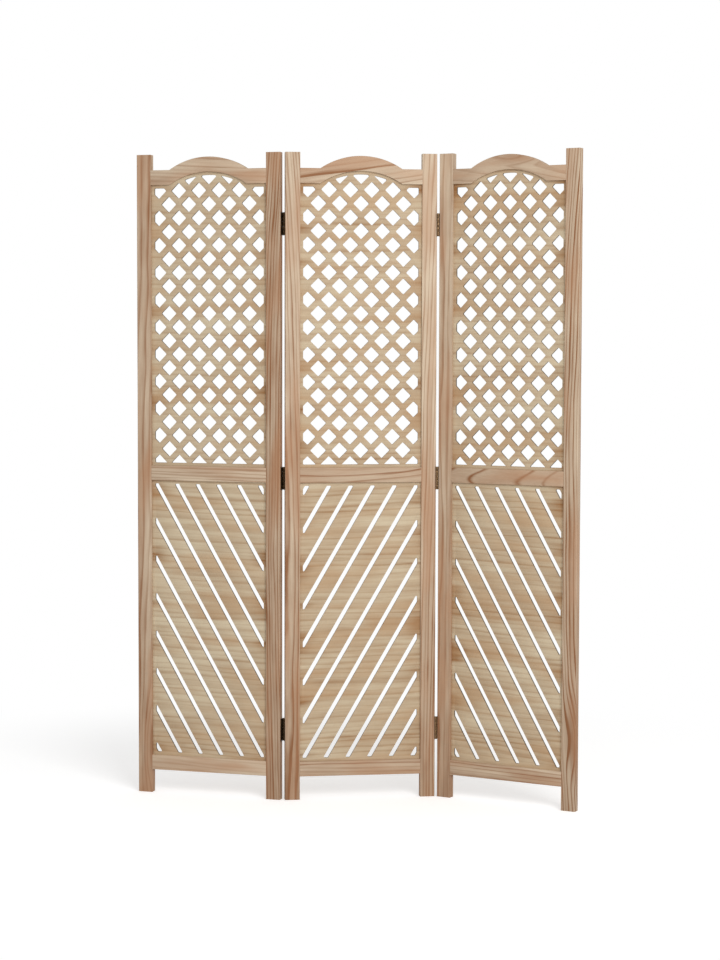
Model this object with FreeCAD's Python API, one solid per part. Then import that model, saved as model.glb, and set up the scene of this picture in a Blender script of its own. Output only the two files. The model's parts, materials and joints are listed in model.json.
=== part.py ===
"""A free-standing folding screen of three wooden leaves, hinged to fold like an accordion.

Each leaf is a mortised frame of two stiles and three rails. Its upper opening holds a thin board
pierced with a diamond lattice under an arched top rail, and its lower opening holds a thin board
pierced with slanting slots. Three butt hinges join each pair of leaves.

A leaf is modelled in its own frame: X across it from its middle, Y through it from its front face
to its back, Z up from the floor. The three leaves are then set out round their hinge axes.
"""

import FreeCAD
import Part
import math
import os

Vector = FreeCAD.Vector

# One leaf and the members of its frame
leaf_width = 400.0
leaf_height = 1700.0
leaf_thickness = 20.0
stile_width = 39.0
rail_height = 39.0
foot_height = 62.0
lower_opening_height = 738.0
post_rise = 41.0
arch_width = 216.0
arch_rise = 33.0
arris_width = 1.0

# Grooves for the boards, and stub tenons in mortises
board_thickness = 6.0
board_play = 0.2
board_swell_gap = 1.0
groove_depth = 8.0
tenon_thickness = 7.0
tenon_length = 24.0
tenon_set_in = 2.0
tenon_play = 0.1
mortise_glue_gap = 1.0

# Diamond lattice of the upper boards
board_border = 8.5
diamond_diagonal = 42.4
diamond_pitch_across = 56.2
diamond_pitch_up = 71.7
diamond_row_rise = 9.6
whole_hole_share = 0.98
least_hole_share = 0.03

# Slanting slots of the lower boards
slot_width = 11.0
slot_pitch_across = 58.2
slot_slope = 60.0

# Butt hinges
hinge_height = 60.0
hinge_inset = 185.0
plate_thickness = 1.2
plate_width = 15.0
plate_gap = 1.6
barrel_diameter = 6.0
barrel_clearance = 0.5
knuckle_count = 5
knuckle_gap = 0.4
pin_diameter = 3.0
pin_play = 0.05
screw_head_diameter = 5.2
screw_shank_diameter = 2.8
screw_length = 13.0
screw_spacing = 40.0

# Knuckles and screws are drawn with flat sides, because there are so many of them
barrel_sides = 8
bore_sides = 6
screw_sides = 6

# How far each outer leaf is turned out of line with the centre leaf, in degrees
left_leaf_turn = -24.455
right_leaf_turn = -37.371

# How far a cut runs past the face that it opens
cut_overrun = 1.0

# Heights and widths that follow from the sizes above
half_opening = leaf_width / 2 - stile_width
lower_opening_base = foot_height + rail_height
middle_rail_base = lower_opening_base + lower_opening_height
upper_opening_base = middle_rail_base + rail_height
shoulder_height = leaf_height - post_rise
upper_opening_top = shoulder_height - rail_height
board_bite = groove_depth - board_swell_gap
groove_width = board_thickness + 2 * board_play
tenon_shoulder = groove_depth + tenon_set_in
half_board = half_opening + board_bite
half_window = half_opening - board_border

# Places of the hinges on a leaf
hinge_gap = 2 * plate_thickness + plate_gap
axis_reach = leaf_width / 2 + hinge_gap / 2
axis_offset = leaf_thickness / 2 + barrel_clearance + barrel_diameter / 2
hinge_heights = {
    "upper": leaf_height - hinge_inset,
    "middle": leaf_height / 2,
    "lower": hinge_inset,
}

# A leaf's left end and right end, and its front face and back face
LEFT, RIGHT = -1, 1
FRONT, BACK = -1, 1

# Which knuckles a hinge plate has: the end ones and every second one between, or those left over
END_KNUCKLES, INNER_KNUCKLES = 0, 1


def block(x_places, y_places, z_places):
    """Box between two places along each axis, given in either order."""
    x_low, x_high = sorted(x_places)
    y_low, y_high = sorted(y_places)
    z_low, z_high = sorted(z_places)
    corner = Vector(x_low, y_low, z_low)
    return Part.makeBox(x_high - x_low, y_high - y_low, z_high - z_low, corner)


def middle(size):
    """The two places that lie half a size each side of zero."""
    return -size / 2, size / 2


def line(start, end):
    """Straight edge between two points."""
    return Part.LineSegment(start, end).toShape()


def polygon_face(points):
    """Flat face with straight edges through the points."""
    return Part.Face(Part.makePolygon(points + points[:1]))


def ring_points(radius, sides):
    """Corners of a regular polygon about the Z axis."""
    steps = [2 * math.pi * (corner + 0.5) / sides for corner in range(sides)]
    return [Vector(radius * math.cos(step), radius * math.sin(step), 0) for step in steps]


def rod(radius, sides, z_places):
    """Upright many-sided rod about the Z axis, between two heights."""
    z_low, z_high = z_places
    end = polygon_face(ring_points(radius, sides))
    return end.translated(Vector(0, 0, z_low)).extrude(Vector(0, 0, z_high - z_low))


def flat_line(level, half_width):
    """Edges from left to right of a straight line at a level."""
    return [line(Vector(-half_width, 0, level), Vector(half_width, 0, level))]


def arched_line(level, half_width):
    """Edges from left to right of a line that rises over the arch in its middle."""
    spring = Vector(-arch_width / 2, 0, level)
    crown = Vector(0, 0, level + arch_rise)
    landing = Vector(arch_width / 2, 0, level)
    arc = Part.Arc(spring, crown, landing).toShape()
    left_flat = line(Vector(-half_width, 0, level), spring)
    right_flat = line(landing, Vector(half_width, 0, level))
    return [left_flat, arc, right_flat]


def face_between(lower, upper):
    """Upright face between two lines of the same width."""
    left_side = line(upper[0].firstVertex().Point, lower[0].firstVertex().Point)
    right_side = line(lower[-1].lastVertex().Point, upper[-1].lastVertex().Point)
    edges = Part.sortEdges(lower + [right_side] + upper + [left_side])[0]
    return Part.Face(Part.Wire(edges))


def slab(face, thickness):
    """Upright face thickened evenly to the front and the back."""
    return face.translated(Vector(0, -thickness / 2, 0)).extrude(Vector(0, thickness, 0))


def tenons(rail_base):
    """Stub tenons at both ends of a rail."""
    heights = rail_base + tenon_shoulder, rail_base + rail_height - tenon_shoulder
    thickness = middle(tenon_thickness)
    return [
        block((end * half_opening, end * (half_opening + tenon_length)), thickness, heights)
        for end in (LEFT, RIGHT)
    ]


def rail_groove(edge_height, floor_height):
    """Groove along a straight rail, from past its edge down to the groove's floor."""
    outward = math.copysign(cut_overrun, edge_height - floor_height)
    length = middle(2 * (half_opening + cut_overrun))
    return block(length, middle(groove_width), (edge_height + outward, floor_height))


def bottom_rail():
    """Lowest rail, grooved above for the slotted board."""
    top = lower_opening_base
    body = block(middle(2 * half_opening), middle(leaf_thickness), (foot_height, top))
    return body.fuse(tenons(foot_height)).cut(rail_groove(top, top - groove_depth))


def middle_rail():
    """Rail between the openings, grooved below and above for the two boards."""
    base = middle_rail_base
    top = upper_opening_base
    body = block(middle(2 * half_opening), middle(leaf_thickness), (base, top))
    grooves = [rail_groove(base, base + groove_depth), rail_groove(top, top - groove_depth)]
    return body.fuse(tenons(base)).cut(grooves)


def top_rail():
    """Arched rail, grooved along its arched lower edge for the lattice board."""
    base = upper_opening_top
    lower_edge = arched_line(base, half_opening)
    upper_edge = arched_line(shoulder_height, half_opening)
    body = slab(face_between(lower_edge, upper_edge), leaf_thickness)
    groove_mouth = arched_line(base - cut_overrun, half_opening + cut_overrun)
    groove_floor = arched_line(base + groove_depth, half_opening + cut_overrun)
    groove = slab(face_between(groove_mouth, groove_floor), groove_width)
    return body.fuse(tenons(base)).cut(groove)


def stile(end, hinge_screws):
    """Upright at one end of a leaf, with grooves, mortises and the holes of its hinge screws."""
    outer = end * leaf_width / 2
    inner = end * half_opening
    eased = outer - end * arris_width
    back = leaf_thickness / 2
    flat_back = back - arris_width
    section = polygon_face([
        Vector(inner, -back, 0),
        Vector(eased, -back, 0),
        Vector(outer, -flat_back, 0),
        Vector(outer, flat_back, 0),
        Vector(eased, back, 0),
        Vector(inner, back, 0),
    ])
    mouth = inner - end * cut_overrun
    cuts = list(hinge_screws)
    openings = (
        (lower_opening_base, middle_rail_base),
        (upper_opening_base, upper_opening_top),
    )
    for base, top in openings:
        heights = base - groove_depth, top + groove_depth
        cuts.append(block((mouth, inner + end * groove_depth), middle(groove_width), heights))
    mortise_end = inner + end * (tenon_length + mortise_glue_gap)
    mortise_thickness = middle(tenon_thickness + 2 * tenon_play)
    for rail_base in (foot_height, middle_rail_base, upper_opening_top):
        low = rail_base + tenon_shoulder - tenon_play
        high = rail_base + rail_height - tenon_shoulder + tenon_play
        cuts.append(block((mouth, mortise_end), mortise_thickness, (low, high)))
    return section.extrude(Vector(0, 0, leaf_height)).cut(cuts)


def pierced_board(outline, holes):
    """Thin board with its holes cut through."""
    return slab(outline.cut(holes), board_thickness)


def clipped_hole(hole, window):
    """The part of a hole inside the window, or nothing where only a sliver is left."""
    inside = hole.common(window)
    share = inside.Area / hole.Area
    if share > whole_hole_share:
        return [hole]
    return inside.Faces if share > least_hole_share else []


def lattice_panel():
    """Upper board: rows of diamonds, each row set half a pitch aside from the one below it."""
    outline = face_between(
        flat_line(upper_opening_base - board_bite, half_board),
        arched_line(upper_opening_top + board_bite, half_board),
    )
    window_base = upper_opening_base + board_border
    window_top = upper_opening_top - board_border
    window = face_between(flat_line(window_base, half_window), arched_line(window_top, half_window))
    reach = diamond_diagonal / 2
    columns = math.ceil((half_window + reach) / diamond_pitch_across)
    first_row = upper_opening_base + diamond_row_rise
    rows = math.ceil(2 * (window_top + arch_rise + reach - first_row) / diamond_pitch_up)
    holes = []
    for row in range(rows):
        height = first_row + row * diamond_pitch_up / 2
        aside = 0 if row % 2 else diamond_pitch_across / 2
        for column in range(-columns, columns + 1):
            across = column * diamond_pitch_across + aside
            diamond = polygon_face([
                Vector(across - reach, 0, height),
                Vector(across, 0, height - reach),
                Vector(across + reach, 0, height),
                Vector(across, 0, height + reach),
            ])
            holes.extend(clipped_hole(diamond, window))
    return pierced_board(outline, holes)


def slot_panel(lean):
    """Lower board: parallel slots that rise to the left (-1) or to the right (1)."""
    outline = face_between(
        flat_line(lower_opening_base - board_bite, half_board),
        flat_line(middle_rail_base + board_bite, half_board),
    )
    window_base = lower_opening_base + board_border
    window_top = middle_rail_base - board_border
    window = face_between(flat_line(window_base, half_window), flat_line(window_top, half_window))
    slope = math.radians(slot_slope)
    centre_height = (window_base + window_top) / 2
    run = lean * (window_top - window_base) / 2 / math.tan(slope)
    half_mouth = slot_width / math.sin(slope) / 2
    reach = half_window + abs(run) + half_mouth
    slots_aside = math.floor(reach / slot_pitch_across)
    holes = []
    for slot in range(-slots_aside, slots_aside + 1):
        across = slot * slot_pitch_across
        strip = polygon_face([
            Vector(across - run - half_mouth, 0, window_base),
            Vector(across - run + half_mouth, 0, window_base),
            Vector(across + run + half_mouth, 0, window_top),
            Vector(across + run - half_mouth, 0, window_top),
        ])
        holes.extend(strip.common(window).Faces)
    return pierced_board(outline, holes)


def tapered_screw():
    """Countersunk wood screw along -X, with its head's face at the origin."""
    stations = (
        (0, screw_head_diameter / 2),
        (-plate_thickness, screw_shank_diameter / 2),
    )
    turn = FreeCAD.Rotation(Vector(0, 1, 0), 90)
    rings = []
    for place, radius in stations:
        corners = [turn.multVec(point) for point in ring_points(radius, screw_sides)]
        rings.append([corner + Vector(place, 0, 0) for corner in corners])
    head, neck = rings
    tip = Vector(-screw_length, 0, 0)
    faces = [polygon_face(head)]
    for side in range(screw_sides):
        after = (side + 1) % screw_sides
        faces.append(polygon_face([head[side], head[after], neck[after], neck[side]]))
        faces.append(polygon_face([neck[side], neck[after], tip]))
    screw = Part.Solid(Part.makeShell(faces))
    screw.fix(Part.Precision.confusion(), Part.Precision.confusion(), Part.Precision.confusion())
    return screw


def hinge_screws(end, face):
    """All screws that hold one leaf's hinge plates to its stile's edge."""
    screws = []
    along = FreeCAD.Rotation(Vector(0, 0, 1), 0 if end == RIGHT else 180)
    head_place = end * (leaf_width / 2 + plate_thickness)
    for height in hinge_heights.values():
        for aside in middle(screw_spacing):
            screw = tapered_screw()
            across = face * (leaf_thickness / 2 - plate_width / 2)
            place = Vector(head_place, across, height + aside)
            screw.Placement = FreeCAD.Placement(place, along)
            screws.append(screw)
    return screws


def knuckle_spans(height, knuckles):
    """Heights of the end knuckles or of the inner knuckles of a hinge."""
    pitch = (hinge_height + knuckle_gap) / knuckle_count
    base = height - hinge_height / 2
    spans = [(base + place * pitch, base + (place + 1) * pitch - knuckle_gap)
             for place in range(knuckle_count)]
    return spans[knuckles::2]


def hinge_plate(end, face, height, knuckles, screws):
    """Plate on a stile's edge, with tongues that roll into knuckles about the hinge axis."""
    edge = end * leaf_width / 2
    x_places = edge, edge + end * plate_thickness
    near_face = face * leaf_thickness / 2
    axis = Vector(end * axis_reach, face * axis_offset, 0)
    y_places = near_face, near_face - face * plate_width
    plate = block(x_places, y_places, (height - hinge_height / 2, height + hinge_height / 2))
    rolled = []
    for span in knuckle_spans(height, knuckles):
        rolled.append(block(x_places, (near_face, axis.y), span))
        rolled.append(rod(barrel_diameter / 2, barrel_sides, span).translated(axis))
    bore_radius = (pin_diameter / 2 + pin_play) / math.cos(math.pi / bore_sides)
    bore_span = height - hinge_height / 2 - cut_overrun, height + hinge_height / 2 + cut_overrun
    bore = rod(bore_radius, bore_sides, bore_span).translated(axis)
    return plate.fuse(rolled).cut([bore] + screws).removeSplitter()


def hinge_pins(end, face):
    """Round pins through all knuckles of each hinge of a joint, flush with their ends."""
    feet = [
        Vector(end * axis_reach, face * axis_offset, height - hinge_height / 2)
        for height in hinge_heights.values()
    ]
    return [Part.makeCylinder(pin_diameter / 2, hinge_height, foot) for foot in feet]


def leaf_nodes(leaf, slot_lean, hinge_sides):
    """Named wooden pieces of one leaf; hinge_sides gives the hinged face at each hinged end."""
    screws = {end: hinge_screws(end, face) for end, face in hinge_sides.items()}
    pieces = {
        "left_stile": stile(LEFT, screws.get(LEFT, [])),
        "right_stile": stile(RIGHT, screws.get(RIGHT, [])),
        "top_rail": top_rail(),
        "middle_rail": middle_rail(),
        "bottom_rail": bottom_rail(),
        "lattice_panel": lattice_panel(),
        "slot_panel": slot_panel(slot_lean),
    }
    return {f"{leaf}_leaf_{name}": piece.removeSplitter() for name, piece in pieces.items()}


def plate_nodes(joint, carrier, end, face, knuckles):
    """Named hinge plates on one leaf at one joint, and the group of their screws."""
    screws = hinge_screws(end, face)
    nodes = {f"{joint}_hinge_{carrier}_screws": Part.makeCompound(screws)}
    for name, height in hinge_heights.items():
        plate = hinge_plate(end, face, height, knuckles, screws)
        nodes[f"{joint}_{name}_hinge_{carrier}_plate"] = plate
    return nodes


def turned_place(end, face, turn):
    """Place of the leaf beyond one end of the centre leaf, turned about their hinge axis."""
    axis = Vector(end * axis_reach, face * axis_offset, 0)
    in_line = Vector(2 * end * axis_reach, 0, 0)
    rotation = FreeCAD.Rotation(Vector(0, 0, 1), turn)
    return FreeCAD.Placement(axis + rotation.multVec(in_line - axis), rotation)


def placed(nodes, place):
    """The same nodes, moved from a leaf's frame to the screen's."""
    return {name: shape.transformed(place.Matrix) for name, shape in nodes.items()}


# The left joint has its barrels at the back, and the right joint has them in front
left_leaf = leaf_nodes("left", LEFT, {RIGHT: BACK})
left_leaf.update(plate_nodes("left", "outer", RIGHT, BACK, INNER_KNUCKLES))
centre_leaf = leaf_nodes("centre", RIGHT, {LEFT: BACK, RIGHT: FRONT})
centre_leaf.update(plate_nodes("left", "centre", LEFT, BACK, END_KNUCKLES))
centre_leaf.update(plate_nodes("right", "centre", RIGHT, FRONT, END_KNUCKLES))
centre_leaf["left_hinge_pins"] = Part.makeCompound(hinge_pins(LEFT, BACK))
centre_leaf["right_hinge_pins"] = Part.makeCompound(hinge_pins(RIGHT, FRONT))
right_leaf = leaf_nodes("right", LEFT, {LEFT: FRONT})
right_leaf.update(plate_nodes("right", "outer", LEFT, FRONT, INNER_KNUCKLES))

# The leaves are set out round the centre leaf
screen = placed(left_leaf, turned_place(LEFT, BACK, left_leaf_turn))
screen.update(centre_leaf)
screen.update(placed(right_leaf, turned_place(RIGHT, FRONT, right_leaf_turn)))

# The origin is on the floor under the middle of the screen's box
box = Part.makeCompound(list(screen.values())).BoundBox
to_origin = Vector(-box.Center.x, -box.Center.y, 0)

os.makedirs("parts", exist_ok=True)
for node, shape in screen.items():
    shape.translated(to_origin).exportStep(f"parts/{node}.step")

# Places that the joints turn about
print("left hinge axis", Vector(-axis_reach, axis_offset, 0) + to_origin)
print("right hinge axis", Vector(axis_reach, -axis_offset, 0) + to_origin)
print("size", box.XLength, box.YLength, box.ZLength)
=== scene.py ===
"""Looks of a folding screen of three bare pine leaves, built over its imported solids.

Each wooden piece is a copy of its solid with eased edges, and the boards get rounded hole corners.
The butt hinges are modelled once, with rolled knuckles, and copied to their six places.
Lengths are in metres, in the solids' frame: the centre leaf lies along X and its front faces -Y.
"""

import json
import math

import bmesh
import bpy
from mathutils import Euler, Matrix, Vector

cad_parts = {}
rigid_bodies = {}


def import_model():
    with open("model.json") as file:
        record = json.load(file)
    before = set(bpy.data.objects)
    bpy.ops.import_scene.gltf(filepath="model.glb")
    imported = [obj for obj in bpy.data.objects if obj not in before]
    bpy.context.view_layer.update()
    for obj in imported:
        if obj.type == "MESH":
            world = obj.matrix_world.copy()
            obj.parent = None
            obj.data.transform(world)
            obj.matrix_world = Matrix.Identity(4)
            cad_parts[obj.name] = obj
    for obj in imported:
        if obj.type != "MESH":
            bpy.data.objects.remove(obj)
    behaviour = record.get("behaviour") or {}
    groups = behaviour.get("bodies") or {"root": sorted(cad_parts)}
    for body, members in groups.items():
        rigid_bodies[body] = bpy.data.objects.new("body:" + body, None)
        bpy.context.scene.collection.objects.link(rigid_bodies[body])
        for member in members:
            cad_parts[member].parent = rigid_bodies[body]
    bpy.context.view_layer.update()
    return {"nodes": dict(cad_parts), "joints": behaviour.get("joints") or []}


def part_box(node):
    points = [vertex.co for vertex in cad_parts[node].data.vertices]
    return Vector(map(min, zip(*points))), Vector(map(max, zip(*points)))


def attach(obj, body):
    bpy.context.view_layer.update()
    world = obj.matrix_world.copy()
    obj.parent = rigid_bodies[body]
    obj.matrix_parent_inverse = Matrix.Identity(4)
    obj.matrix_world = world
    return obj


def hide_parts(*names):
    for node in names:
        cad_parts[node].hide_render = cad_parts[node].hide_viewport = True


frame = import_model()

# Finish of the wooden pieces; a hole's round takes up to a share of the shorter side at its corner
arris_round = 0.0005
arris_steps = 2
hole_rim_round = 0.0004
hole_rim_steps = 1
hole_corner_round = 0.0026
hole_corner_steps = 4
longest_round = 0.45
flat_corner = math.radians(165)

# Angles and distances that tell edges and faces apart
sharp_edge = math.radians(50)
smooth_below = math.radians(35)
flat_below = math.radians(0.3)
merge_distance = 0.00001
facing_front = 0.9
facing_aside = 0.5

# Butt hinges, about an axis along Z with the hinge's middle at the origin
hinge_height = 0.060
sheet_thickness = 0.0012
sheet_middle = -0.0014
plate_near = 0.0035
plate_far = 0.0185
barrel_radius = 0.0030
knuckle_count = 5
knuckle_gap = 0.0004
roll_angle = math.radians(282)
roll_steps = 20
tongue_steps = 4
sheet_edge_round = 0.00015
pin_radius = 0.0015
pin_end_round = 0.0003
pin_sides = 24
screw_aside = 0.020
screw_head_radius = 0.0026
screw_neck_radius = 0.0014
screw_taper = (0.75, 0.10)
screw_length = 0.013
screw_sides = 20
screw_recess = (0.0032, 0.0007, 0.0007)
rim_steps = 2

# Less than any size of the hinges
tiny = 0.000001

# Camera, from the photograph's viewing angle
camera_place = Vector((-0.79374, -5.75080, 1.2017))
camera_heading = math.radians(-8.0)
camera_tilt = math.radians(90 - 3.491)
camera_roll = math.radians(0.141)
camera_lens = 83.398
camera_sensor = 36.0

# Studio light: the surroundings' strength, and one soft box in front
surroundings_strength = 0.5
key_place = (1.0, -4.5, 2.9)
key_target = (0, 0, 0.85)
key_width = 2.4
key_power = 130

# Floor: how bright it shows by itself, and where its shadow ends and plain white begins
floor_size = 60.0
floor_grey = (0.9, 0.9, 0.9, 1)
floor_glow = 0.42
floor_shadow_reach = 0.9
floor_white_from = 1.8

# The leaves' own frames, from the joints' straight limits and from the middle rails
LEAVES = ("left", "centre", "right")
HINGE_HEIGHTS = ("upper", "middle", "lower")
leaf_turn = {"centre": 0.0}
for joint in frame["joints"]:
    leaf_turn[joint["child"].removesuffix("_leaf")] = math.radians(joint["range_deg"][0])


def node_middle(node):
    """Middle of a solid's box."""
    low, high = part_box(node)
    return (low + high) / 2


def through_leaf(leaf):
    """Direction through a leaf, from its front to its back."""
    return Matrix.Rotation(leaf_turn[leaf], 3, "Z") @ Vector((0, 1, 0))


def screen_colour(red, green, blue):
    """Linear colour with full alpha from values of 0 to 255 as a screen shows them."""
    linear = []
    for value in (red, green, blue):
        share = value / 255
        linear.append(share / 12.92 if share <= 0.04045 else ((share + 0.055) / 1.055) ** 2.4)
    return (*linear, 1.0)


# Modelling helpers


def make_active(piece):
    """Selects one piece alone and makes it the active one."""
    bpy.ops.object.select_all(action="DESELECT")
    piece.select_set(True)
    bpy.context.view_layer.objects.active = piece


def edit(piece, select="EDGE"):
    """Opens edit mode on one piece, with nothing selected."""
    make_active(piece)
    bpy.ops.object.mode_set(mode="EDIT")
    bpy.ops.mesh.select_mode(type=select)
    bpy.ops.mesh.select_all(action="DESELECT")


def close_edit():
    """Goes back to object mode."""
    bpy.ops.object.mode_set(mode="OBJECT")


def select_edges(piece, wanted):
    """Selects the edges of the piece being edited that pass a test, and no others."""
    bpy.ops.mesh.select_all(action="DESELECT")
    shape = bmesh.from_edit_mesh(piece.data)
    for edge in shape.edges:
        if wanted(edge):
            edge.select_set(True)
    shape.select_flush_mode()
    bmesh.update_edit_mesh(piece.data)


def apply_modifier(piece, kind, **settings):
    """Adds a modifier to a piece and applies it."""
    make_active(piece)
    modifier = piece.modifiers.new(kind.title(), kind)
    for name, value in settings.items():
        setattr(modifier, name, value)
    bpy.ops.object.modifier_apply(modifier=modifier.name)


def settle(piece):
    """Puts a piece's place, turn and size into its mesh."""
    make_active(piece)
    bpy.ops.object.transform_apply(location=True, rotation=True, scale=True)


def smooth(piece):
    """Smooth shading, but for sharp edges."""
    make_active(piece)
    bpy.ops.object.shade_smooth_by_angle(angle=smooth_below)


def copy_of(piece, name, matrix):
    """A copy with its own mesh, moved by a matrix that goes into the mesh."""
    twin = bpy.data.objects.new(name, piece.data.copy())
    bpy.context.scene.collection.objects.link(twin)
    twin.matrix_world = matrix
    settle(twin)
    return twin


def joined(pieces, name):
    """Several pieces as one object."""
    bpy.ops.object.select_all(action="DESELECT")
    for piece in pieces:
        piece.select_set(True)
    bpy.context.view_layer.objects.active = pieces[0]
    bpy.ops.object.join()
    pieces[0].name = name
    return pieces[0]


def stands_for(piece, node, body):
    """The piece takes the place of one solid on its body."""
    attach(piece, body)
    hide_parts(node)


# Node helpers


def add_node(tree, kind, inputs=None, **settings):
    """A new node with its settings, and its inputs linked or set."""
    made = tree.nodes.new(kind)
    for name, value in settings.items():
        setattr(made, name, value)
    for name, value in (inputs or {}).items():
        if isinstance(value, bpy.types.NodeSocket):
            tree.links.new(value, made.inputs[name])
        else:
            made.inputs[name].default_value = value
    return made


def calculated(tree, operation, *values, clamp=False):
    """Output of a math node."""
    inputs = dict(enumerate(values))
    return add_node(tree, "ShaderNodeMath", inputs, operation=operation, use_clamp=clamp).outputs[0]


def vectored(tree, operation, *values):
    """Output of a vector math node."""
    made = add_node(tree, "ShaderNodeVectorMath", dict(enumerate(values)), operation=operation)
    return made.outputs["Value" if operation == "LENGTH" else "Vector"]


def eased(tree, value, low, high):
    """Rises smoothly from 0 at the low value to 1 at the high value."""
    inputs = {"Value": value, "From Min": low, "From Max": high}
    return add_node(tree, "ShaderNodeMapRange", inputs, interpolation_type="SMOOTHSTEP").outputs["Result"]


def noise(tree, vector, detail=2.0, output="Fac", scale=1.0):
    """Noise with features of about one unit, or finer by a scale."""
    inputs = {"Vector": vector, "Scale": scale, "Detail": detail, "Roughness": 0.55}
    return add_node(tree, "ShaderNodeTexNoise", inputs).outputs[output]


def mixed(tree, share, first, second):
    """Colour between two colours."""
    return add_node(tree, "ShaderNodeMix", {0: share, 6: first, 7: second}, data_type="RGBA").outputs[2]


def seen_directly(tree):
    """1 for what the camera, a reflection or glass shows, and 0 for light on other surfaces."""
    path = add_node(tree, "ShaderNodeLightPath").outputs
    seen = calculated(tree, "MAXIMUM", path["Is Camera Ray"], path["Is Glossy Ray"])
    return calculated(tree, "MAXIMUM", seen, path["Is Transmission Ray"])


def new_group(name, inputs, outputs):
    """A shader node group with named sockets, and its input and output nodes."""
    group = bpy.data.node_groups.new(name, "ShaderNodeTree")
    for socket, kind in inputs:
        group.interface.new_socket(socket, in_out="INPUT", socket_type=kind)
    for socket, kind in outputs:
        group.interface.new_socket(socket, in_out="OUTPUT", socket_type=kind)
    return group, group.nodes.new("NodeGroupInput").outputs, group.nodes.new("NodeGroupOutput")


def new_material(name):
    """A material with nodes, its Principled shader and its tree."""
    material = bpy.data.materials.new(name)
    material.use_nodes = True
    return material, material.node_tree, material.node_tree.nodes["Principled BSDF"]


# Softwood: growth rings about a pith that lies along X, streaks and fine fibres along X

# How a plank's seed moves its patterns, and features per metre, along the grain and across it
seed_shift = (3.1, 1.7, 5.3)
wander_scale = (2.2, 14)
streak_scale = (3.0, 48)
cloud_scale = (6.0, 24)
fibre_scale = (14, 700)
stain_scale = (1.5, 18)
blush_scale = (3.5, 20)

# Rings: how far they wander, how uneven they are, and where in a year late wood is full and ends
ring_sway = 1.5
ring_noise_scale = (0.7, 3.0, 1.0)
ring_unevenness = 1.4
late_wood_full = 0.88
late_wood_ends = 0.82
faintest_year = 0.25

# A knot: how much shorter it is across the grain than along it, and how far it parts the rings
knot_squeeze = 0.22
knot_parting = 0.45

# Noise levels between which stains and blush set in, and the stretch near a board's ends that stains
stain_levels = (0.46, 0.68)
blush_levels = (0.42, 0.70)
end_stretch = (0.100, 0.165)

# Strengths of the fibres' tone, the blush, the roughness and the relief
fibre_tone_strength = 0.38
blush_strength = 0.55
wood_roughness = 0.52
fibre_roughness = 0.22
late_wood_relief = -0.6
grain_relief = {"Strength": 0.35, "Distance": 0.0002}
wood_gloss = 0.25
# How much darker the hole walls are than the faces: partly darker cut grain, partly painted shade
cut_grain_and_painted_shade = 0.62


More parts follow.
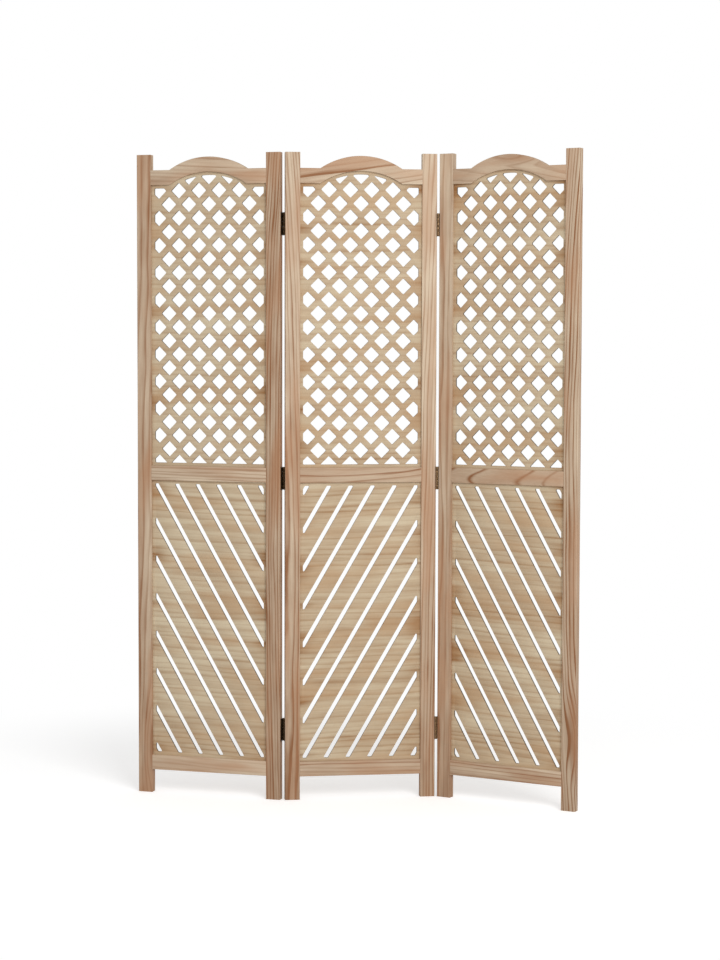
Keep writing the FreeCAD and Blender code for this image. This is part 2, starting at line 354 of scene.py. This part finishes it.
def softwood_group():
    """Colour, roughness and height of planed softwood whose fibres run along X."""
    group, given, result = new_group(
        "Softwood grain",
        [
            ("Vector", "NodeSocketVector"),
            ("Pith", "NodeSocketVector"),
            ("Lean", "NodeSocketVector"),
            ("Bow", "NodeSocketVector"),
            ("Seed", "NodeSocketFloat"),
            ("Ring width", "NodeSocketFloat"),
            ("Rings", "NodeSocketFloat"),
            ("Late wood from", "NodeSocketFloat"),
            ("Streaks", "NodeSocketFloat"),
            ("Clouds", "NodeSocketFloat"),
            ("Tone", "NodeSocketFloat"),
            ("Fade", "NodeSocketFloat"),
            ("End stain", "NodeSocketFloat"),
            ("Knot", "NodeSocketVector"),
            ("Knot size", "NodeSocketFloat"),
            ("Knot tone", "NodeSocketFloat"),
            ("Pale wood", "NodeSocketColor"),
            ("Dark wood", "NodeSocketColor"),
            ("Blush", "NodeSocketColor"),
        ],
        [("Color", "NodeSocketColor"), ("Roughness", "NodeSocketFloat"), ("Height", "NodeSocketFloat")],
    )
    place = given["Vector"]
    along = add_node(group, "ShaderNodeSeparateXYZ", {0: place}).outputs["X"]
    leaning = vectored(group, "MULTIPLY_ADD", along, given["Lean"], place)
    along_squared = calculated(group, "MULTIPLY", along, along)
    leaning = vectored(group, "MULTIPLY_ADD", along_squared, given["Bow"], leaning)
    seeds = vectored(group, "MULTIPLY", given["Seed"], seed_shift)

    def stretched(lengthwise, crosswise):
        scale = (lengthwise, crosswise, crosswise)
        return vectored(group, "MULTIPLY_ADD", leaning, scale, seeds)

    # Rings wander slowly along the piece and vary in width and strength
    wander = noise(group, stretched(*wander_scale), 1.0, "Color")
    wander = vectored(group, "SUBTRACT", wander, (0.5, 0.5, 0.5))
    sway = vectored(group, "MULTIPLY", given["Ring width"], (0.0, ring_sway, ring_sway))
    wandering = vectored(group, "MULTIPLY_ADD", wander, sway, leaning)
    from_pith = vectored(group, "SUBTRACT", wandering, given["Pith"])
    across_grain = vectored(group, "MULTIPLY", from_pith, (0.0, 1.0, 1.0))
    distance = vectored(group, "LENGTH", across_grain)

    # A knot parts the rings round it, and the wood near it is darker
    from_knot = vectored(group, "SUBTRACT", wandering, given["Knot"])
    from_knot = vectored(group, "MULTIPLY", from_knot, (knot_squeeze, 1.0, 1.0))
    from_knot = calculated(group, "DIVIDE", vectored(group, "LENGTH", from_knot), given["Knot size"])
    knot = calculated(group, "SUBTRACT", 1.0, eased(group, from_knot, 0.0, 1.0))
    parting = calculated(group, "MULTIPLY", given["Knot size"], knot_parting)
    distance = calculated(group, "MULTIPLY_ADD", knot, parting, distance)
    rings = calculated(group, "DIVIDE", distance, given["Ring width"])
    ring_place = add_node(group, "ShaderNodeCombineXYZ", {0: rings, 1: along, 2: given["Seed"]})
    ring_place = vectored(group, "MULTIPLY", ring_place.outputs[0], ring_noise_scale)
    unevenness = calculated(group, "SUBTRACT", noise(group, ring_place, 2.0), 0.5)
    rings = calculated(group, "MULTIPLY_ADD", unevenness, ring_unevenness, rings)
    age = calculated(group, "FRACT", rings)
    year = calculated(group, "FLOOR", rings)
    ring_end = calculated(group, "SUBTRACT", 1.0, eased(group, age, late_wood_ends, 1.0))
    late_wood = eased(group, age, given["Late wood from"], late_wood_full)
    late_wood = calculated(group, "MULTIPLY", late_wood, ring_end)
    year_seed = calculated(group, "ADD", year, given["Seed"])
    year_noise = add_node(group, "ShaderNodeTexWhiteNoise", {"W": year_seed}, noise_dimensions="1D")
    year_strength = year_noise.outputs["Value"]
    year_strength = calculated(group, "MULTIPLY_ADD", year_strength, 1 - faintest_year, faintest_year)
    late_wood = calculated(group, "MULTIPLY", late_wood, year_strength)

    # Streaks, clouds and fibres are drawn out along the grain
    streak = calculated(group, "SUBTRACT", noise(group, stretched(*streak_scale), 3.0), 0.5)
    cloud = calculated(group, "SUBTRACT", noise(group, stretched(*cloud_scale), 3.0), 0.5)
    fibre = noise(group, stretched(*fibre_scale), 3.0)
    tone = calculated(group, "MULTIPLY_ADD", late_wood, given["Rings"], given["Tone"])
    tone = calculated(group, "MULTIPLY_ADD", along, given["Fade"], tone)
    tone = calculated(group, "MULTIPLY_ADD", knot, given["Knot tone"], tone)
    tone = calculated(group, "MULTIPLY_ADD", streak, given["Streaks"], tone)
    tone = calculated(group, "MULTIPLY_ADD", cloud, given["Clouds"], tone)
    near_end = eased(group, calculated(group, "ABSOLUTE", along), *end_stretch)
    stain = eased(group, noise(group, stretched(*stain_scale), 2.0), *stain_levels)
    stain = calculated(group, "MULTIPLY", stain, near_end)
    tone = calculated(group, "MULTIPLY_ADD", stain, given["End stain"], tone)
    fibre_tone = calculated(group, "SUBTRACT", fibre, 0.5)
    tone = calculated(group, "MULTIPLY_ADD", fibre_tone, fibre_tone_strength, tone, clamp=True)
    colour = mixed(group, tone, given["Pale wood"], given["Dark wood"])
    blush = eased(group, noise(group, stretched(*blush_scale), 2.0), *blush_levels)
    blush = calculated(group, "MULTIPLY", blush, blush_strength)
    colour = mixed(group, blush, colour, given["Blush"])
    group.links.new(colour, result.inputs["Color"])
    roughness = calculated(group, "MULTIPLY_ADD", fibre, fibre_roughness, wood_roughness)
    group.links.new(roughness, result.inputs["Roughness"])
    height = calculated(group, "MULTIPLY_ADD", late_wood, late_wood_relief, fibre)
    group.links.new(height, result.inputs["Height"])
    return group


softwood = softwood_group()

ALONG_RAIL = 0.0
UP_STILE = math.radians(-90)
FRAME_WOOD = {"Pale wood": (216, 196, 170), "Dark wood": (142, 96, 62), "Blush": (184, 138, 104)}
BOARD_WOOD = {"Pale wood": (210, 193, 164), "Dark wood": (148, 104, 62), "Blush": (188, 152, 114)}


def wood_material(name, node, leaf, grain, figure, shade=1.0):
    """Bare planed wood for one piece, with its pattern about the piece's own middle."""
    material, tree, shader = new_material(name)
    place = add_node(tree, "ShaderNodeTexCoord").outputs["Object"]
    mapping = add_node(tree, "ShaderNodeMapping", {"Vector": place}, vector_type="TEXTURE")
    mapping.inputs["Location"].default_value = node_middle(node)
    mapping.inputs["Rotation"].default_value = (0.0, grain, leaf_turn[leaf])
    wood = add_node(tree, "ShaderNodeGroup", node_tree=softwood)
    tree.links.new(mapping.outputs["Vector"], wood.inputs["Vector"])
    for socket, value in figure.items():
        wood.inputs[socket].default_value = value
    for socket, value in (BOARD_WOOD if node.endswith("panel") else FRAME_WOOD).items():
        # A shade below 1 darkens the colours for the hole walls, as darker cut grain and as painted shade
        wood.inputs[socket].default_value = screen_colour(*[shade * level for level in value])
    bump = add_node(tree, "ShaderNodeBump", grain_relief)
    tree.links.new(wood.outputs["Height"], bump.inputs["Height"])
    tree.links.new(wood.outputs["Color"], shader.inputs["Base Color"])
    tree.links.new(wood.outputs["Roughness"], shader.inputs["Roughness"])
    tree.links.new(bump.outputs["Normal"], shader.inputs["Normal"])
    shader.inputs["Specular IOR Level"].default_value = wood_gloss
    return material


# Planks: where the pith lies from the piece's middle, how the grain leans and bows, and the tones
STRAIGHT = (0.0, 0.0)
NO_KNOT = (0.0, 1.0, 0.0, 0.01, 0.0)


def plank(
    seed, pith, lean, bow, rings, streaks, clouds, tone, fade=0.0, end_stain=0.0, knot=NO_KNOT, late=0.4
):
    """Values of the softwood group for one piece.

    In the pairs for pith, lean and bow, depth through the leaf comes before the way across the face.
    Rings are their width and strength. A knot is its place along the grain, in depth and across the
    face, its size and its darkness.
    """
    return {
        "Seed": seed,
        "Pith": (0.0, *pith),
        "Lean": (0.0, *lean),
        "Bow": (0.0, *bow),
        "Ring width": rings[0],
        "Rings": rings[1],
        "Late wood from": late,
        "Streaks": streaks,
        "Clouds": clouds,
        "Tone": tone,
        "Fade": fade,
        "End stain": end_stain,
        "Knot": knot[:3],
        "Knot size": knot[3],
        "Knot tone": knot[4],
    }


PLANKS = {
    "left_leaf_left_stile": plank(
        1, (0.04, 0.05), (0, 0.02), STRAIGHT, (0.012, 0.5), 1.1, 0.6, 0.43,
        knot=(-0.72, -0.01, -0.03, 0.045, 0.05),
    ),
    "left_leaf_right_stile": plank(2, (0.03, -0.06), (0, 0.01), (0, 0.03), (0.007, 0.9), 0.8, 0.8, 0.50),
    "centre_leaf_left_stile": plank(
        3, (0.03, 0.025), (0.01, -0.03), (0, -0.025), (0.007, 0.75), 0.95, 0.7, 0.34, fade=-0.18,
    ),
    "centre_leaf_right_stile": plank(
        24, (0.03, 0.06), (0, 0.025), (0, 0.012), (0.0075, 0.85), 0.7, 0.5, 0.24, fade=-0.34,
    ),
    "right_leaf_left_stile": plank(
        5, (0.04, 0.04), (0, 0.01), STRAIGHT, (0.01, 0.6), 1, 0.7, 0.37, fade=-0.15,
    ),
    "right_leaf_right_stile": plank(
        6, (0.03, -0.05), STRAIGHT, (0, 0.045), (0.0075, 1.05), 0.6, 0.7, 0.28,
        fade=-0.1, knot=(-0.66, -0.01, 0.003, 0.036, 0.45),
    ),
    "left_leaf_top_rail": plank(7, (0.06, 0.1), (0.02, 0.03), STRAIGHT, (0.009, 0.45), 0.8, 0.6, 0.24),
    "centre_leaf_top_rail": plank(
        8, (0.03, 0.212), (0, -0.15), STRAIGHT, (0.018, 1), 0.6, 0.4, 0.23, fade=-0.5,
    ),
    "right_leaf_top_rail": plank(
        9, (0.1, 0.02), (0.06, 0.03), (0, 0.2), (0.008, 0.5), 0.4, 0.4, 0.29,
        knot=(0.02, -0.01, 0.03, 0.03, 0.3),
    ),
    "left_leaf_middle_rail": plank(10, (0.05, 0.05), (0, 0.02), STRAIGHT, (0.006, 0.9), 1.2, 0.5, 0.30),
    "centre_leaf_middle_rail": plank(
        11, (0.04, -0.06), (0, -0.06), (0, -0.2), (0.012, 0.7), 0.7, 0.4, 0.36,
    ),
    "right_leaf_middle_rail": plank(
        12, (0.16, 0), (0.09, 0), STRAIGHT, (0.0095, 0.95), 0.5, 0.5, 0.39, late=0.66,
    ),
    "left_leaf_bottom_rail": plank(13, (0.05, 0.05), (0, 0.02), STRAIGHT, (0.007, 0.4), 0.6, 0.4, 0.12),
    "centre_leaf_bottom_rail": plank(14, (0.05, 0.1), STRAIGHT, STRAIGHT, (0.009, 0.6), 0.7, 0.5, 0.36),
    "right_leaf_bottom_rail": plank(15, (0.05, -0.1), (0, 0.02), STRAIGHT, (0.008, 0.7), 1.1, 0.9, 0.43),
    "left_leaf_lattice_panel": plank(
        16, (0.3, 1.5), STRAIGHT, STRAIGHT, (0.014, 0.3), 0.65, 0.65, 0.20, end_stain=0.6,
    ),
    "centre_leaf_lattice_panel": plank(
        17, (0.3, 1.5), STRAIGHT, STRAIGHT, (0.014, 0.3), 0.65, 0.65, 0.27, end_stain=0.6,
    ),
    "right_leaf_lattice_panel": plank(
        18, (0.3, 1.5), STRAIGHT, STRAIGHT, (0.014, 0.3), 0.7, 0.8, 0.23, end_stain=0.6,
    ),
    "left_leaf_slot_panel": plank(
        19, (0.3, 1.5), (0, 0.02), STRAIGHT, (0.014, 0.4), 0.9, 0.8, 0.18, end_stain=0.6,
    ),
    "centre_leaf_slot_panel": plank(
        20, (0.3, 1.5), (0, -0.02), STRAIGHT, (0.014, 0.4), 0.9, 0.8, 0.28, end_stain=0.6,
    ),
    "right_leaf_slot_panel": plank(
        21, (0.3, 1.5), (0, 0.02), STRAIGHT, (0.014, 0.4), 0.9, 0.8, 0.23, end_stain=0.6,
    ),
}


# Wooden pieces


def solid_copy(node):
    """A copy of a solid's mesh as a piece of its own, merged and freed of its facets."""
    piece = bpy.data.objects.new(f"{node}_wood", frame["nodes"][node].data.copy())
    bpy.context.scene.collection.objects.link(piece)
    piece.data.materials.clear()
    make_active(piece)
    bpy.ops.mesh.customdata_custom_splitnormals_clear()
    edit(piece)
    bpy.ops.mesh.select_all(action="SELECT")
    bpy.ops.mesh.remove_doubles(threshold=merge_distance)
    bpy.ops.mesh.dissolve_limited(angle_limit=flat_below)
    close_edit()
    return piece


def ease_arrises(piece, leaf):
    """Rounds the edges round the faces that lie on a leaf's front, back and ends."""
    through = through_leaf(leaf)
    middle = node_middle(f"{leaf}_leaf_middle_rail")
    low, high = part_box(f"{leaf}_leaf_left_stile")

    def depth(vertex):
        return (vertex.co - middle).dot(through)

    edit(piece)
    half_thickness = max(depth(vertex) for vertex in bmesh.from_edit_mesh(piece.data).verts)
    tolerance = arris_round / 10

    def outside(edge):
        if len(edge.link_faces) != 2 or edge.calc_face_angle() < sharp_edge:
            return False
        depths = [depth(vertex) for vertex in edge.verts]
        level = abs(depths[0] - depths[1]) < tolerance
        on_face = level and abs(abs(depths[0]) - half_thickness) < tolerance
        heights = [vertex.co.z for vertex in edge.verts]
        on_end = any(max(abs(height - end) for height in heights) < tolerance for end in (low.z, high.z))
        return on_face or on_end

    select_edges(piece, outside)
    bpy.ops.mesh.bevel(offset=arris_round, segments=arris_steps, affect="EDGES")
    close_edit()


def board_frame(node, leaf):
    """Frame of a board's middle: X across the leaf, Y up and Z to the front."""
    turn = Matrix.Rotation(leaf_turn[leaf], 4, "Z")
    return Matrix.Translation(node_middle(node)) @ turn @ Matrix.Rotation(math.radians(90), 4, "X")


def keep_front_outlines(piece, front):
    """Leaves of a board only the outlines of its front face and of its holes."""
    edit(piece, "FACE")
    shape = bmesh.from_edit_mesh(piece.data)
    for face in shape.faces:
        face.select_set(face.normal.dot(front) < facing_front)
    bmesh.update_edit_mesh(piece.data)
    bpy.ops.mesh.delete(type="FACE")
    bpy.ops.mesh.select_mode(type="EDGE")
    select_edges(piece, lambda edge: len(edge.link_faces) == 2)
    bpy.ops.mesh.delete(type="EDGE_FACE")
    bpy.ops.mesh.select_all(action="SELECT")
    bpy.ops.mesh.delete(type="ONLY_FACE")
    close_edit()


def spot(vertex):
    """Place of a vertex to the micrometre, to find it again."""
    return tuple(round(value, 6) for value in vertex.co)


def select_holes(piece):
    """Opens a flat board with the outlines of its holes selected, but not its own outline."""
    edit(piece, "VERT")
    shape = bmesh.from_edit_mesh(piece.data)
    max(shape.verts, key=lambda vertex: vertex.co.x).select_set(True)
    bpy.ops.mesh.select_linked()
    bpy.ops.mesh.select_all(action="INVERT")
    return bmesh.from_edit_mesh(piece.data)


def corner_rounds(piece, radius):
    """Groups the corners of a board's holes by the bevel that gives them a round of one radius."""
    shape = select_holes(piece)
    groups = {}
    for corner in shape.verts:
        sides = [edge.other_vert(corner).co - corner.co for edge in corner.link_edges]
        half_angle = sides[0].angle(sides[1]) / 2
        if corner.select and half_angle < flat_corner / 2:
            reach = min(radius / math.tan(half_angle), longest_round * min(side.length for side in sides))
            circle_share = 1 - 1 / (2 * (1 + math.sin(half_angle)))
            bevel = (round(reach, 5), round(circle_share ** 2, 3))
            groups.setdefault(bevel, set()).add(spot(corner))
    close_edit()
    return groups


def round_hole_corners(piece, radius):
    """Rounds the corners of a board's holes as the cutter that made them leaves them."""
    for (reach, profile), corners in corner_rounds(piece, radius).items():
        edit(piece, "VERT")
        for vertex in bmesh.from_edit_mesh(piece.data).verts:
            vertex.select_set(spot(vertex) in corners)
        bmesh.update_edit_mesh(piece.data)
        bpy.ops.mesh.bevel(
            offset=reach, segments=hole_corner_steps, profile=profile, affect="VERTICES", clamp_overlap=False
        )
        close_edit()


def thicken_outlines(piece, thickness):
    """Fills flat outlines as a sheet with holes, with finely rounded rims."""
    make_active(piece)
    bpy.ops.object.convert(target="CURVE")
    outlines = bpy.context.object.data
    outlines.dimensions = "2D"
    outlines.fill_mode = "BOTH"
    outlines.extrude = thickness / 2 - hole_rim_round
    outlines.bevel_depth = hole_rim_round
    outlines.bevel_resolution = hole_rim_steps
    outlines.offset = -hole_rim_round
    bpy.ops.object.convert(target="MESH")


def finished_board(node, leaf):
    """A pierced board with rounded hole corners, fine rims and hole walls darkened as cut grain and painted
    shade.
    """
    piece = solid_copy(node)
    place = board_frame(node, leaf)
    front = place.to_3x3() @ Vector((0, 0, 1))
    keep_front_outlines(piece, front)
    piece.matrix_world = place.inverted()
    settle(piece)
    thickness = 2 * max(vertex.co.z for vertex in piece.data.vertices)
    round_hole_corners(piece, hole_corner_round)
    thicken_outlines(piece, thickness)
    piece.matrix_world = place
    settle(piece)
    edit(piece)
    bpy.ops.mesh.select_all(action="SELECT")
    bpy.ops.mesh.remove_doubles(threshold=merge_distance)
    close_edit()
    piece.data.materials.clear()
    piece.data.materials.append(wood_material(f"{node}_face", node, leaf, ALONG_RAIL, PLANKS[node]))
    # The hole walls get a darker copy of the wood: cut grain and painted shade
    cut_and_painted_shade_walls = wood_material(f"{node}_sawn", node, leaf, ALONG_RAIL, PLANKS[node], cut_grain_and_painted_shade)
    piece.data.materials.append(cut_and_painted_shade_walls)
    for face in piece.data.polygons:
        face.material_index = int(abs(face.normal.dot(front)) < facing_aside)
    smooth(piece)
    return piece


def finished_member(node, leaf, grain):
    """A stile or rail with eased arrises."""
    piece = solid_copy(node)
    ease_arrises(piece, leaf)
    piece.data.materials.append(wood_material(f"{node}_wood", node, leaf, grain, PLANKS[node]))
    smooth(piece)
    return piece


for leaf in LEAVES:
    for side in ("left", "right"):
        node = f"{leaf}_leaf_{side}_stile"
        stands_for(finished_member(node, leaf, UP_STILE), node, f"{leaf}_leaf")
    for rail in ("top", "middle", "bottom"):
        node = f"{leaf}_leaf_{rail}_rail"
        stands_for(finished_member(node, leaf, ALONG_RAIL), node, f"{leaf}_leaf")
    for board in ("lattice", "slot"):
        node = f"{leaf}_leaf_{board}_panel"
        stands_for(finished_board(node, leaf), node, f"{leaf}_leaf")


# Butt hinges, modelled as the centre leaf's plate of the right joint sits


def knuckle_spans(knuckles):
    """Heights of every second knuckle of a hinge."""
    pitch = (hinge_height + knuckle_gap) / knuckle_count
    bases = [place * pitch - hinge_height / 2 for place in range(knuckles, knuckle_count, 2)]
    return [(base, base + pitch - knuckle_gap) for base in bases]


def flat_plate(name):
    """The flat sheet of a hinge plate, between its edges near to and far from the barrel."""
    bpy.ops.object.select_all(action="DESELECT")
    bpy.ops.mesh.primitive_plane_add(
        size=1,
        location=(sheet_middle, (plate_near + plate_far) / 2, 0),
        rotation=(0, math.radians(90), 0),
    )
    sheet = bpy.context.object
    sheet.name = name
    sheet.scale = (hinge_height, plate_far - plate_near, 1)
    settle(sheet)
    return sheet


def roll_knuckles(sheet, spans):
    """Draws tongues out of the plate's near edge and rolls them round the hinge axis."""

    def at_tongue(edge):
        ends = [vertex.co for vertex in edge.verts]
        height = (ends[0].z + ends[1].z) / 2
        near = all(abs(end.y - plate_near) < tiny for end in ends)
        return near and any(low < height < high for low, high in spans)

    edit(sheet)
    for span in spans:
        for height in span:
            bpy.ops.mesh.select_all(action="SELECT")
            bpy.ops.mesh.bisect(plane_co=(0, 0, height), plane_no=(0, 0, 1), threshold=tiny)
    select_edges(sheet, at_tongue)
    roll_radius = barrel_radius - sheet_thickness / 2
    x, y = sheet_middle, plate_near
    for step in range(1, tongue_steps + 1):
        share = step / tongue_steps
        bend = share * share * (3 - 2 * share)
        next_x = sheet_middle - (roll_radius + sheet_middle) * bend
        next_y = plate_near * (1 - share)
        move = {"value": (next_x - x, next_y - y, 0)}
        bpy.ops.mesh.extrude_edges_move(TRANSFORM_OT_translate=move)
        x, y = next_x, next_y
    bpy.ops.mesh.spin(steps=roll_steps, angle=roll_angle, center=(0, 0, 0), axis=(0, 0, -1))
    bpy.ops.mesh.select_all(action="SELECT")
    bpy.ops.mesh.remove_doubles(threshold=tiny)
    bpy.ops.mesh.normals_make_consistent(inside=False)
    close_edit()


def cut_away(piece, cutter):
    """Cuts one piece out of another and removes the cutter."""
    apply_modifier(piece, "BOOLEAN", operation="DIFFERENCE", object=cutter, solver="MANIFOLD")
    bpy.data.objects.remove(cutter)


def screw_blank():
    """Countersunk screw with a plain head, point to -X, with its head in the plate's face."""
    bpy.ops.object.select_all(action="DESELECT")
    bpy.ops.mesh.primitive_circle_add(vertices=screw_sides, radius=screw_head_radius, fill_type="NGON")
    screw = bpy.context.object
    edit(screw, "FACE")
    bpy.ops.mesh.select_all(action="SELECT")
    radius = screw_head_radius
    shank_length = (screw_length - sheet_thickness) / 2
    for depth, next_radius in (
        (sheet_thickness, screw_neck_radius),
        (shank_length, screw_taper[0] * screw_neck_radius),
        (shank_length, screw_taper[1] * screw_neck_radius),
    ):
        bpy.ops.mesh.extrude_region_move(TRANSFORM_OT_translate={"value": (0, 0, -depth)})
        share = next_radius / radius
        bpy.ops.transform.resize(value=(share, share, 1), center_override=(0, 0, 0))
        radius = next_radius
    bpy.ops.mesh.select_all(action="SELECT")
    bpy.ops.mesh.normals_make_consistent(inside=False)
    close_edit()
    screw.rotation_euler = (0, math.radians(90), 0)
    screw.location = (sheet_middle + sheet_thickness / 2, (plate_near + plate_far) / 2, 0)
    settle(screw)
    return screw


def recess_head(screw):
    """Presses a cross recess into a screw's head."""
    length, width, depth = screw_recess
    face = sheet_middle + sheet_thickness / 2
    for arm in ((length, width), (width, length)):
        bpy.ops.object.select_all(action="DESELECT")
        bpy.ops.mesh.primitive_cube_add(size=1, location=(face, (plate_near + plate_far) / 2, 0))
        cutter = bpy.context.object
        cutter.scale = (2 * depth, *arm)
        settle(cutter)
        cut_away(screw, cutter)


def rolled_plate(name, knuckles, blank):
    """Hinge plate with rolled knuckles and two countersunk holes."""
    sheet = flat_plate(name)
    roll_knuckles(sheet, knuckle_spans(knuckles))
    apply_modifier(sheet, "SOLIDIFY", thickness=sheet_thickness, offset=0.0, use_even_offset=True)
    for height in (-screw_aside, screw_aside):
        cut_away(sheet, copy_of(blank, "countersink", Matrix.Translation((0, 0, height))))
    apply_modifier(
        sheet, "BEVEL", width=sheet_edge_round, segments=rim_steps, limit_method="ANGLE",
        angle_limit=sharp_edge, use_clamp_overlap=True,
    )
    smooth(sheet)
    return sheet


def hinge_pin():
    """Round pin with eased ends."""
    bpy.ops.object.select_all(action="DESELECT")
    bpy.ops.mesh.primitive_cylinder_add(vertices=pin_sides, radius=pin_radius, depth=hinge_height)
    pin = bpy.context.object
    edit(pin)
    select_edges(pin, lambda edge: abs(edge.verts[0].co.z - edge.verts[1].co.z) < tiny)
    bpy.ops.mesh.bevel(offset=pin_end_round, segments=rim_steps, affect="EDGES")
    close_edit()
    smooth(pin)
    return pin


# Plating: how fine its clouds are, the levels between which it thins, its roughness and its metal share
plating_scale = 260.0
plating_levels = (0.35, 0.75)
plating_roughness = 0.24
thin_roughness = 0.20
plating_metal = 0.85


def plating_group():
    """Colour and roughness of dark antique plating, browner where it is thin."""
    group, given, result = new_group(
        "Dark plating",
        [("Vector", "NodeSocketVector"), ("Dark", "NodeSocketColor"), ("Thin", "NodeSocketColor")],
        [("Color", "NodeSocketColor"), ("Roughness", "NodeSocketFloat")],
    )
    thin = eased(group, noise(group, given["Vector"], 4.0, scale=plating_scale), *plating_levels)
    group.links.new(mixed(group, thin, given["Dark"], given["Thin"]), result.inputs["Color"])
    roughness = calculated(group, "MULTIPLY_ADD", thin, thin_roughness, plating_roughness)
    group.links.new(roughness, result.inputs["Roughness"])
    return group


plating = plating_group()


def plated_metal(name, dark, thin):
    """Antique bronze plating on steel."""
    material, tree, shader = new_material(name)
    place = add_node(tree, "ShaderNodeTexCoord").outputs["Object"]
    metal = add_node(tree, "ShaderNodeGroup", node_tree=plating)
    tree.links.new(place, metal.inputs["Vector"])
    metal.inputs["Dark"].default_value = screen_colour(*dark)
    metal.inputs["Thin"].default_value = screen_colour(*thin)
    tree.links.new(metal.outputs["Color"], shader.inputs["Base Color"])
    tree.links.new(metal.outputs["Roughness"], shader.inputs["Roughness"])
    shader.inputs["Metallic"].default_value = plating_metal
    return material


hinge_bronze = plated_metal("hinge_bronze", (58, 44, 28), (104, 82, 54))
# Lighter plating for the knuckles' outer halves, as rubbed wear and as a painted highlight
rubbed_and_highlit_bronze = plated_metal("rubbed_and_highlit_bronze", (100, 78, 54), (140, 112, 80))
screw_bronze = plated_metal("screw_bronze", (54, 41, 26), (98, 77, 50))


def rub_and_highlight_knuckles(plate):
    """Gives the outer half of a plate's knuckles, away from the sheet, lighter plating: rubbed wear and a
    painted highlight.
    """
    plate.data.materials.append(rubbed_and_highlit_bronze)
    for face in plate.data.polygons:
        face.material_index = int(face.center.y < 0)


blank = screw_blank()
plates = {
    "centre": rolled_plate("three_knuckle_plate", 0, blank),
    "outer": rolled_plate("two_knuckle_plate", 1, blank),
}
recess_head(blank)
smooth(blank)
pin = hinge_pin()
for metal_piece in (*plates.values(), pin):
    metal_piece.data.materials.clear()
    metal_piece.data.materials.append(hinge_bronze)
for plate in plates.values():
    rub_and_highlight_knuckles(plate)
blank.data.materials.clear()
blank.data.materials.append(screw_bronze)

# How a plate turns from the modelled one to each other place
half_turn = math.radians(180)
plate_turn = {
    ("right", "centre"): Matrix.Identity(4),
    ("left", "centre"): Matrix.Rotation(half_turn, 4, "Z"),
    ("right", "outer"): Matrix.Rotation(half_turn, 4, "Y"),
    ("left", "outer"): Matrix.Rotation(half_turn, 4, "X"),
}
for joint in frame["joints"]:
    side = joint["child"].removesuffix("_leaf")
    pins = []
    for carrier in ("centre", "outer"):
        body = "centre_leaf" if carrier == "centre" else f"{side}_leaf"
        turn = plate_turn[side, carrier]
        if carrier == "outer":
            turn = Matrix.Rotation(leaf_turn[side], 4, "Z") @ turn
        screws = []
        for height in HINGE_HEIGHTS:
            node = f"{side}_{height}_hinge_{carrier}_plate"
            axis = Vector((joint["pos_m"][0], joint["pos_m"][1], node_middle(node).z))
            place = Matrix.Translation(axis) @ turn
            stands_for(copy_of(plates[carrier], f"{node}_rolled", place), node, body)
            for aside in (-screw_aside, screw_aside):
                screws.append(copy_of(blank, "screw", place @ Matrix.Translation((0, 0, aside))))
            if carrier == "centre":
                pins.append(copy_of(pin, "pin", Matrix.Translation(axis)))
        node = f"{side}_hinge_{carrier}_screws"
        stands_for(joined(screws, f"{node}_recessed"), node, body)
    node = f"{side}_hinge_pins"
    stands_for(joined(pins, f"{node}_eased"), node, "centre_leaf")
for pattern in (*plates.values(), blank, pin):
    bpy.data.objects.remove(pattern)


# Floor, light and camera


def lay_floor():
    """Pale floor that keeps the screen's shadow and turns white away from it."""
    bpy.ops.object.select_all(action="DESELECT")
    bpy.ops.mesh.primitive_plane_add(size=floor_size)
    floor = bpy.context.object
    floor.name = "floor"
    material, tree, shader = new_material("pale_floor")
    shader.inputs["Base Color"].default_value = floor_grey
    shader.inputs["Roughness"].default_value = 1.0
    shader.inputs["Specular IOR Level"].default_value = 0.0
    seen = seen_directly(tree)
    glow = add_node(tree, "ShaderNodeEmission", {"Strength": floor_glow}).outputs[0]
    lit = add_node(tree, "ShaderNodeAddShader", {0: shader.outputs[0], 1: glow}).outputs[0]
    white = add_node(tree, "ShaderNodeEmission", {"Strength": 1.0}).outputs[0]
    place = add_node(tree, "ShaderNodeTexCoord").outputs["Object"]
    away = eased(tree, vectored(tree, "LENGTH", place), floor_shadow_reach, floor_white_from)
    shown = add_node(tree, "ShaderNodeMixShader", {0: away, 1: lit, 2: white}).outputs[0]
    floor_shader = add_node(tree, "ShaderNodeMixShader", {0: seen, 1: shader.outputs[0], 2: shown})
    tree.links.new(floor_shader.outputs[0], tree.nodes["Material Output"].inputs["Surface"])
    floor.data.materials.append(material)


def white_world(strength):
    """White surroundings that light the screen softly and show as plain white."""
    world = bpy.data.worlds.new("white_studio")
    bpy.context.scene.world = world
    world.use_nodes = True
    tree = world.node_tree
    level = calculated(tree, "MULTIPLY_ADD", seen_directly(tree), 1.0 - strength, strength)
    background = tree.nodes["Background"]
    background.inputs["Color"].default_value = (1, 1, 1, 1)
    tree.links.new(level, background.inputs["Strength"])


def soft_box(name, place, target, width, power):
    """Square studio light that faces a point."""
    light = bpy.data.lights.new(name, "AREA")
    light.size = width
    light.energy = power
    lamp = bpy.data.objects.new(name, light)
    bpy.context.scene.collection.objects.link(lamp)
    lamp.location = place
    lamp.rotation_euler = (Vector(target) - Vector(place)).to_track_quat("-Z", "Y").to_euler()


lay_floor()
white_world(surroundings_strength)
soft_box("key_light", key_place, key_target, key_width, key_power)

camera = bpy.data.objects.new("camera", bpy.data.cameras.new("camera"))
bpy.context.scene.collection.objects.link(camera)
camera.location = camera_place
aim = Euler((camera_tilt, 0, camera_heading)).to_matrix() @ Matrix.Rotation(camera_roll, 3, "Z")
camera.rotation_euler = aim.to_euler()
camera.data.lens = camera_lens
camera.data.sensor_width = camera_sensor
bpy.context.scene.camera = camera

bpy.context.scene.view_settings.view_transform = "Standard"
